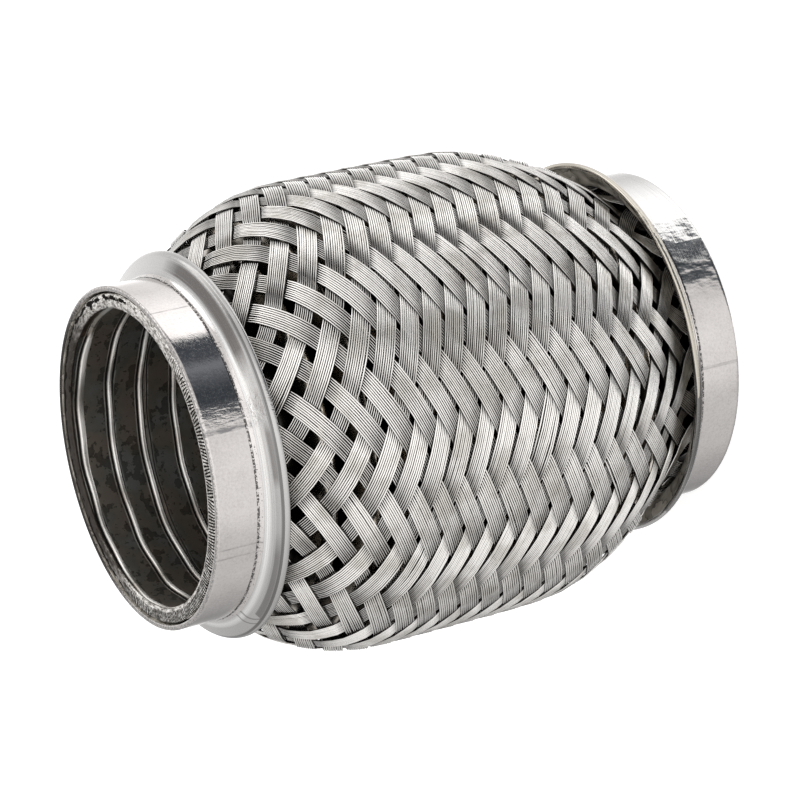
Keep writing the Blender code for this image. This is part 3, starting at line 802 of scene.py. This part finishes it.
def linerMesh(name):
    # the strip's section carried up a helix, one pitch a turn; its place along the axis is a little wavy,
    # drawn down near the top, and set towards the far end, more so below the last turns; the last turn
    # carries a wide hem, which begins at one azimuth and narrows again further round, and is plain
    # before it; both ends are cut level
    l = liner
    section = np.array(l["section"])
    width = section[:, 0].max()
    low, high = l["inset"], pipe["length"] / mm - l["inset"]
    count = int((high - low + width + l["lead"]) / l["pitch"] * l["perTurn"])
    turn = np.arange(1, count) / l["perTurn"]
    angle = np.radians(l["startAngle"]) + turn * pipe["turns"]
    start = low - width + l["lead"] + turn * l["pitch"]
    start = start + softNoise(turn, l["swayPeriod"]) * l["sway"]
    start = start + softNoise(turn, l["lumpPeriod"], 6) * l["lumps"]
    start = start - l["drawn"] * np.exp(-(high - start) / l["drawnReach"])
    start = start - l["set"] - l["deepSet"] * (1 - smoothStep(start, l["deepStart"], l["deepEnd"]))
    reach = np.degrees(np.mod(angle, pipe["turns"]))
    last = (start > l["lastFrom"])[:, None]
    hem = smoothStep(reach, l["hemFrom"], l["hemTo"])
    hem = hem * (1 - smoothStep(reach, l["narrowFrom"], l["narrowTo"]))
    across = section[None, :, 0]
    outward = l["hemOuter"] * (across > l["hemOuterFrom"]) * (across < l["hemOuterTo"])
    wide = hem[:, None] * last * (outward - l["hemInner"] * (across < l["hemInnerTo"]))
    height = squeezed(start[:, None] + across + wide, low, high, l["squeeze"])
    radius = np.broadcast_to(section[None, :, 1], height.shape)
    points = np.stack([radius * np.cos(angle)[:, None], radius * np.sin(angle)[:, None], height], -1) * mm
    rows, columns = height.shape
    # on the plain stretch the painted highlight and shadow give way to one low tone
    plain = last & (reach < l["hemFrom"])[:, None] & (across > l["plainFrom"]) & (across < l["plainTo"])
    tone = np.where(plain, l["plainTone"], np.tile(section[:, 2], (rows, 1)))
    # the glint makes the painted highlight on the ridge stronger and weaker along the turns
    glint = l["glint"] + l["glintSwing"] * softNoise(turn, l["glintPeriod"], 6)
    tone = np.where(tone > 0, tone * np.clip(glint, l["glintLeast"], 1)[:, None], tone)
    caps = [np.arange(columns)[::-1], np.arange(columns) + (rows - 1) * columns]
    return meshFrom(name, points, ringQuads(rows, columns), caps, tone=tone)


steel, wire, sheet, strip = polishedPressing(), drawnWire(), foldedSheet(), stainedStrip()
addPiece("endCollarNear", collarMesh("endCollarNear", True), steel, ["end_collar_near"], 50)
addPiece("endCollarFar", collarMesh("endCollarFar", False), steel, ["end_collar_far"], 50)
print("collars done")
addPiece("bellowsFolds", bellowsMesh("bellowsFolds"), sheet, ["bellows"], 60)
addPiece("linerStrip", linerMesh("linerStrip"), strip, ["interlock_liner"], 50)
print("bellows and liner done")
for hand in ("right", "left"):
    for number in range(braid["ribbons"]):
        label = f"{hand}HandRibbon{number + 1:02d}"
        node = f"{hand}_hand_ribbon_{number + 1:02d}"
        addPiece(label, ribbonMesh(label, number, hand), wire, [node])
print("braid done")


view = dict(place=(0.0685259, -0.5578099, 0.3417419), lens=168.03, sensor=36.0, near=0.02, far=20,
            right=(-0.172432, -0.473144, -0.863946), down=(-0.978969, -0.014761, 0.203473),
            ahead=(-0.109024, 0.880861, -0.460648))


def placed(thing, x, y, z, place):
    # turns a thing to three axes, and puts it at a place
    rows = [[x[k], y[k], z[k], place[k]] for k in range(3)]
    thing.matrix_world = Matrix([*rows, [0, 0, 0, 1]])
    bpy.context.scene.collection.objects.link(thing)


def makeCamera():
    data = bpy.data.cameras.new("photoView")
    data.lens, data.sensor_width, data.sensor_fit = view["lens"], view["sensor"], "AUTO"
    data.clip_start, data.clip_end = view["near"], view["far"]
    camera = bpy.data.objects.new("photoView", data)
    up, back = ([-x for x in view[key]] for key in ("down", "ahead"))
    placed(camera, view["right"], up, back, view["place"])
    bpy.context.scene.camera = camera


ground = dict(half=3.0, colour=(0.8, 0.8, 0.8, 1), glow=0.45)


def makeFloor():
    # a wide pale floor that keeps the shadow: its own light is seen by camera rays alone
    h = ground["half"]
    mesh = bpy.data.meshes.new("floor")
    mesh.from_pydata([(-h, -h, 0), (h, -h, 0), (h, h, 0), (-h, h, 0)], [], [(0, 1, 2, 3)])
    shade = Shade(bpy.data.materials.new("paleFloor"))
    rays = shade.node("ShaderNodeLightPath", None, None, "Is Camera Ray")
    pale = shade.node("ShaderNodeBsdfDiffuse", None, dict(Color=ground["colour"]))
    glow = shade.node("ShaderNodeEmission", None, dict(Color=(1, 1, 1, 1), Strength=rays * ground["glow"]))
    both = shade.node("ShaderNodeAddShader", None, {0: pale, 1: glow})
    shade.node("ShaderNodeOutputMaterial", None, {"Surface": both})
    mesh.materials.append(shade.owner)
    floor = bpy.data.objects.new("floor", mesh)
    floor.visible_glossy = False
    floor.visible_shadow = False
    bpy.context.scene.collection.objects.link(floor)


studio = dict(strength=1.9, lowerTo=-0.36, upperFrom=-0.12,  # height of a direction, from -1 to 1
              lower=[(-180, 0.85), (-172, 0.50), (-162, 0.20), (-152, 0.19), (-139, 0.27), (-112, 0.41),
                     (-80, 0.45), (-60, 0.57), (-11, 0.60), (16, 0.57), (27, 0.50),
                     (35, (0.085, 0.095, 0.105)), (51, (0.025, 0.030, 0.036)), (62, (0.08, 0.088, 0.10)),
                     (68, (0.16, 0.17, 0.185)), (72, (0.05, 0.056, 0.066)), (86, (0.04, 0.047, 0.055)),
                     (89, 0.98), (106, 0.90), (134, 0.58), (152, 0.55), (165, 0.80), (180, 0.90)],
              upper=[(-180, 0.70), (-166, 0.38), (-140, 0.35), (-100, 0.42), (-60, 0.60), (0, 0.80),
                     (30, 0.80), (42, 0.50), (60, 0.50), (72, 0.70), (84, 0.42), (94, 0.52), (115, 0.50),
                     (140, 0.48), (156, 0.62), (180, 0.70)])


def makeWorld():
    # a studio round the photograph's own level line: its light goes by the angle about that line, after one
    # row of greys for directions that run downwards and another for the rest; camera rays see plain white
    world = bpy.data.worlds.new("studio")
    bpy.context.scene.world = world
    shade = Shade(world)
    toward = shade.node("ShaderNodeTexCoord", None, None, "Generated")
    upward, nearer = (
        shade.node("ShaderNodeVectorMath", dict(operation="DOT_PRODUCT"),
                   {0: toward, 1: tuple(-x for x in view[key])}, "Value")
        for key in ("down", "ahead"))
    turn = upward.math("ARCTAN2", nearer) / (2 * np.pi) + 0.5
    lower, upper = (shade.ramp(turn, *[(degrees / 360 + 0.5, level) for degrees, level in studio[key]])
                    for key in ("lower", "upper"))
    height = shade.node("ShaderNodeSeparateXYZ", None, {0: toward}, 2)
    share = shade.node("ShaderNodeMapRange", dict(interpolation_type="SMOOTHSTEP"),
                       {0: height, 1: studio["lowerTo"], 2: studio["upperFrom"]})
    rays = shade.node("ShaderNodeLightPath", None, None, "Is Camera Ray")
    colour = shade.mix(rays, shade.mix(share, lower, upper), (1, 1, 1, 1))
    strength = rays * (1 - studio["strength"]) + studio["strength"]
    sky = shade.node("ShaderNodeBackground", None, dict(Color=colour, Strength=strength))
    shade.node("ShaderNodeOutputWorld", None, {"Surface": sky})


keyLamp = dict(place=(0.9, 0.35, 0.55), size=0.9, power=2.5)


def makeLamp(name, place, size, power):
    # a round area lamp that shines at the frame's origin
    data = bpy.data.lights.new(name, "AREA")
    data.shape, data.size, data.energy = "DISK", size, power
    lamp = bpy.data.objects.new(name, data)
    back = np.array(place) / np.linalg.norm(place)
    side = np.cross((0, 0, 1), back)
    side /= np.linalg.norm(side)
    placed(lamp, side, np.cross(back, side), back, place)
    lamp.visible_camera = False


makeCamera()
makeFloor()
makeWorld()
makeLamp("keyLamp", **keyLamp)
bpy.context.scene.view_settings.view_transform = "Standard"
print("stage done")
